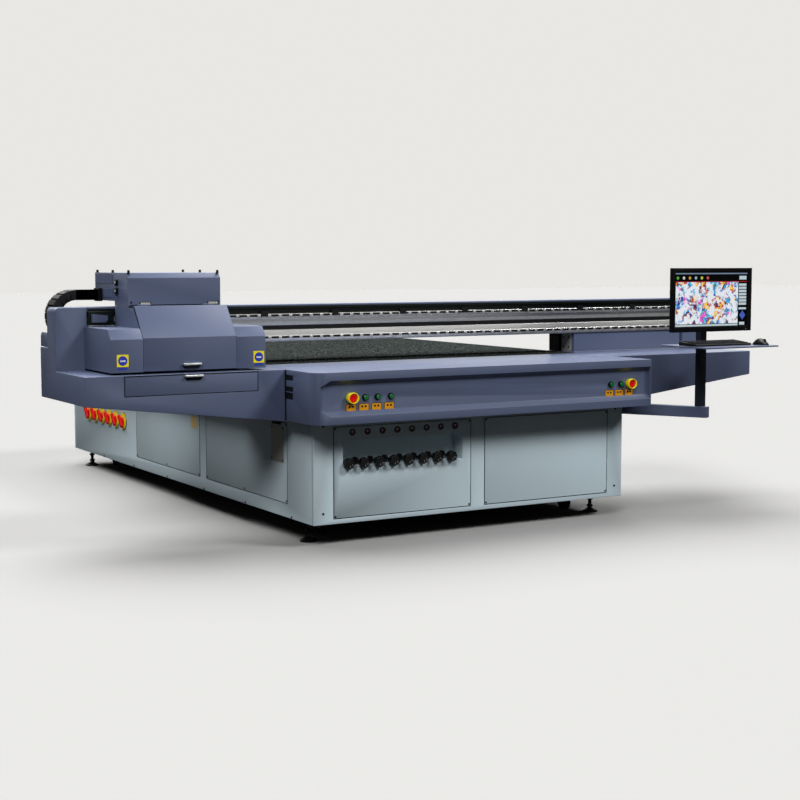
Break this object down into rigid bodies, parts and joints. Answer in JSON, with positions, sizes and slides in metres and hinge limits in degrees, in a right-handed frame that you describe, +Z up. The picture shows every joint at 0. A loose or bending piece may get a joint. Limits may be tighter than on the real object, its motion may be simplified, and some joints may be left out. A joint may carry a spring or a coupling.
{
  "type": "flatbed uv printer",
  "caption": "Flatbed printer: a long vacuum table on a cabinet, a gantry that travels over it with a print carriage, control buttons and a monitor on a swing arm.",
  "frame": {"origin": "centre of the footprint on the floor, under the whole machine with the gantry parked at the front", "axes": "+Z up; +Y along the bed from the operator's end to the rear; +X to the operator's right, along the gantry beam"},
  "size_m": [4.06, 4.163, 1.356],
  "materials": {
    "slate_blue_paint": "satin powder coat",
    "cabinet_paint": "satin powder coat",
    "zinc_steel": "zinc plated",
    "beam_metal": "anodised extrusion",
    "ground_steel": "ground",
    "bed_metal": "hard anodised, fine speckle",
    "black_plastic": "fine texture",
    "wheel_nylon": "smooth",
    "red_plastic": "moulded",
    "green_plastic": "moulded"
  },
  "bodies": {
    "machine_base": {"base_frame": "zinc_steel", "cabinet_front_wall": "cabinet_paint", "front_valve_panel": "cabinet_paint", "front_service_panel": "cabinet_paint", "cabinet_left_wall": "cabinet_paint", "left_panel_front": "cabinet_paint", "left_panel_rear": "cabinet_paint", "cabinet_right_wall": "cabinet_paint", "cabinet_rear_wall": "cabinet_paint", "front_console": "slate_blue_paint", "rear_console": "slate_blue_paint", "side_beam_left": "slate_blue_paint", "side_beam_right": "slate_blue_paint", "vacuum_bed": "bed_metal", "levelling_foot_front_left": "zinc_steel", "levelling_foot_rear_left": "zinc_steel", "levelling_foot_front_right": "zinc_steel", "levelling_foot_rear_right": "zinc_steel"},
    "gantry": {"left_wing": "slate_blue_paint", "right_wing": "slate_blue_paint", "gantry_beam": "beam_metal", "beam_cover": "slate_blue_paint", "upper_rail": "ground_steel", "lower_rail": "ground_steel", "chain_lower_run": "black_plastic"},
    "carriage": {"carriage_body": "slate_blue_paint", "printhead_block": "zinc_steel", "chain_upper_run": "black_plastic"},
    "cover": {"carriage_cover": "slate_blue_paint"},
    "drawer": {"maintenance_drawer": "slate_blue_paint"},
    "chain_loop": {"chain_bend": "black_plastic"},
    "stand": {"monitor_stand": "slate_blue_paint"},
    "screen": {"monitor": "black_plastic"},
    "fork_left": {"caster_fork_left": "zinc_steel"},
    "wheel_front_left": {"caster_wheel_front_left": "wheel_nylon"},
    "wheel_rear_left": {"caster_wheel_rear_left": "wheel_nylon"},
    "fork_right": {"caster_fork_right": "zinc_steel"},
    "wheel_front_right": {"caster_wheel_front_right": "wheel_nylon"},
    "wheel_rear_right": {"caster_wheel_rear_right": "wheel_nylon"},
    "valve_knob_1_body": {"valve_knob_1": "black_plastic"},
    "valve_knob_2_body": {"valve_knob_2": "black_plastic"},
    "valve_knob_3_body": {"valve_knob_3": "black_plastic"},
    "valve_knob_4_body": {"valve_knob_4": "black_plastic"},
    "valve_knob_5_body": {"valve_knob_5": "black_plastic"},
    "valve_knob_6_body": {"valve_knob_6": "black_plastic"},
    "valve_knob_7_body": {"valve_knob_7": "black_plastic"},
    "valve_knob_8_body": {"valve_knob_8": "black_plastic"},
    "switch_handle_1_body": {"switch_handle_1": "red_plastic"},
    "switch_handle_2_body": {"switch_handle_2": "red_plastic"},
    "switch_handle_3_body": {"switch_handle_3": "red_plastic"},
    "switch_handle_4_body": {"switch_handle_4": "red_plastic"},
    "switch_handle_5_body": {"switch_handle_5": "red_plastic"},
    "switch_handle_6_body": {"switch_handle_6": "red_plastic"},
    "button_left_1_body": {"button_left_1": "green_plastic"},
    "button_left_2_body": {"button_left_2": "green_plastic"},
    "button_left_3_body": {"button_left_3": "green_plastic"},
    "button_right_1_body": {"button_right_1": "green_plastic"},
    "button_right_2_body": {"button_right_2": "green_plastic"},
    "estop_left_body": {"estop_left": "red_plastic"},
    "estop_right_body": {"estop_right": "red_plastic"}
  },
  "joints": [
    {"name": "gantry_slide", "type": "slide", "parent": "machine_base", "child": "gantry", "axis": [0, 1, 0], "range_m": [0, 2.75]},
    {"name": "carriage_slide", "type": "slide", "parent": "gantry", "child": "carriage", "axis": [1, 0, 0], "range_m": [0, 2.95]},
    {"name": "chain_loop_slide", "type": "slide", "parent": "gantry", "child": "chain_loop", "axis": [1, 0, 0], "range_m": [0, 1.475], "deforming": ["chain_lower_run", "chain_upper_run"]},
    {"name": "cover_hinge", "type": "hinge", "parent": "carriage", "child": "cover", "pos_m": [0, -1.3015, 1.184], "axis": [1, 0, 0], "range_deg": [-75, 0]},
    {"name": "drawer_slide", "type": "slide", "parent": "gantry", "child": "drawer", "axis": [0, -1, 0], "range_m": [0, 0.28]},
    {"name": "valve_knob_1_turn", "type": "hinge", "parent": "machine_base", "child": "valve_knob_1_body", "pos_m": [-0.759, -1.6965, 0.405], "axis": [0, -1, 0], "range_deg": [0, 90]},
    {"name": "valve_knob_2_turn", "type": "hinge", "parent": "machine_base", "child": "valve_knob_2_body", "pos_m": [-0.6743, -1.6965, 0.405], "axis": [0, -1, 0], "range_deg": [0, 90]},
    {"name": "valve_knob_3_turn", "type": "hinge", "parent": "machine_base", "child": "valve_knob_3_body", "pos_m": [-0.5896, -1.6965, 0.405], "axis": [0, -1, 0], "range_deg": [0, 90]},
    {"name": "valve_knob_4_turn", "type": "hinge", "parent": "machine_base", "child": "valve_knob_4_body", "pos_m": [-0.5049, -1.6965, 0.405], "axis": [0, -1, 0], "range_deg": [0, 90]},
    {"name": "valve_knob_5_turn", "type": "hinge", "parent": "machine_base", "child": "valve_knob_5_body", "pos_m": [-0.4202, -1.6965, 0.405], "axis": [0, -1, 0], "range_deg": [0, 90]},
    {"name": "valve_knob_6_turn", "type": "hinge", "parent": "machine_base", "child": "valve_knob_6_body", "pos_m": [-0.3355, -1.6965, 0.405], "axis": [0, -1, 0], "range_deg": [0, 90]},
    {"name": "valve_knob_7_turn", "type": "hinge", "parent": "machine_base", "child": "valve_knob_7_body", "pos_m": [-0.2508, -1.6965, 0.405], "axis": [0, -1, 0], "range_deg": [0, 90]},
    {"name": "valve_knob_8_turn", "type": "hinge", "parent": "machine_base", "child": "valve_knob_8_body", "pos_m": [-0.1661, -1.6965, 0.405], "axis": [0, -1, 0], "range_deg": [0, 90]},
    {"name": "switch_handle_1_turn", "type": "hinge", "parent": "machine_base", "child": "switch_handle_1_body", "pos_m": [-0.96, 0.9505, 0.383], "axis": [-1, 0, 0], "range_deg": [0, 90]},
    {"name": "switch_handle_2_turn", "type": "hinge", "parent": "machine_base", "child": "switch_handle_2_body", "pos_m": [-0.96, 1.082, 0.383], "axis": [-1, 0, 0], "range_deg": [0, 90]},
    {"name": "switch_handle_3_turn", "type": "hinge", "parent": "machine_base", "child": "switch_handle_3_body", "pos_m": [-0.96, 1.2135, 0.383], "axis": [-1, 0, 0], "range_deg": [0, 90]},
    {"name": "switch_handle_4_turn", "type": "hinge", "parent": "machine_base", "child": "switch_handle_4_body", "pos_m": [-0.96, 1.345, 0.383], "axis": [-1, 0, 0], "range_deg": [0, 90]},
    {"name": "switch_handle_5_turn", "type": "hinge", "parent": "machine_base", "child": "switch_handle_5_body", "pos_m": [-0.96, 1.4765, 0.383], "axis": [-1, 0, 0], "range_deg": [0, 90]},
    {"name": "switch_handle_6_turn", "type": "hinge", "parent": "machine_base", "child": "switch_handle_6_body", "pos_m": [-0.96, 1.608, 0.383], "axis": [-1, 0, 0], "range_deg": [0, 90]},
    {"name": "button_left_1_press", "type": "slide", "parent": "machine_base", "child": "button_left_1_body", "axis": [0, 1, 0], "range_m": [0, 0.004], "stiffness_N_per_m": 500},
    {"name": "button_left_2_press", "type": "slide", "parent": "machine_base", "child": "button_left_2_body", "axis": [0, 1, 0], "range_m": [0, 0.004], "stiffness_N_per_m": 500},
    {"name": "button_left_3_press", "type": "slide", "parent": "machine_base", "child": "button_left_3_body", "axis": [0, 1, 0], "range_m": [0, 0.004], "stiffness_N_per_m": 500},
    {"name": "button_right_1_press", "type": "slide", "parent": "machine_base", "child": "button_right_1_body", "axis": [0, 1, 0], "range_m": [0, 0.004], "stiffness_N_per_m": 500},
    {"name": "button_right_2_press", "type": "slide", "parent": "machine_base", "child": "button_right_2_body", "axis": [0, 1, 0], "range_m": [0, 0.004], "stiffness_N_per_m": 500},
    {"name": "estop_left_press", "type": "slide", "parent": "machine_base", "child": "estop_left_body", "axis": [0, 1, 0], "range_m": [0, 0.008]},
    {"name": "estop_right_press", "type": "slide", "parent": "machine_base", "child": "estop_right_body", "axis": [0, 1, 0], "range_m": [0, 0.008]},
    {"name": "caster_swivel_left", "type": "hinge", "parent": "machine_base", "child": "fork_left", "pos_m": [-0.76, -1.3915, 0.1], "axis": [0, 0, 1], "continuous": true},
    {"name": "wheel_turn_front_left", "type": "hinge", "parent": "fork_left", "child": "wheel_front_left", "pos_m": [-0.76, -1.4135, 0.055], "axis": [1, 0, 0], "continuous": true},
    {"name": "wheel_turn_rear_left", "type": "hinge", "parent": "machine_base", "child": "wheel_rear_left", "pos_m": [-0.76, 1.6265, 0.055], "axis": [1, 0, 0], "continuous": true},
    {"name": "caster_swivel_right", "type": "hinge", "parent": "machine_base", "child": "fork_right", "pos_m": [0.76, -1.3915, 0.1], "axis": [0, 0, 1], "continuous": true},
    {"name": "wheel_turn_front_right", "type": "hinge", "parent": "fork_right", "child": "wheel_front_right", "pos_m": [0.76, -1.4135, 0.055], "axis": [1, 0, 0], "continuous": true},
    {"name": "wheel_turn_rear_right", "type": "hinge", "parent": "machine_base", "child": "wheel_rear_right", "pos_m": [0.76, 1.6265, 0.055], "axis": [1, 0, 0], "continuous": true},
    {"name": "stand_swing", "type": "hinge", "parent": "machine_base", "child": "stand", "pos_m": [1, -1.1355, 0.56], "axis": [0, 0, 1], "range_deg": [-25, 15]},
    {"name": "monitor_tilt", "type": "hinge", "parent": "stand", "child": "screen", "pos_m": [1.4, -1.8315, 1.19], "axis": [1, 0, 0], "range_deg": [-15, 5]}
  ],
  "couplings": [
    {"joint": "chain_loop_slide", "follows": "carriage_slide", "ratio": 0.5}
  ]
}
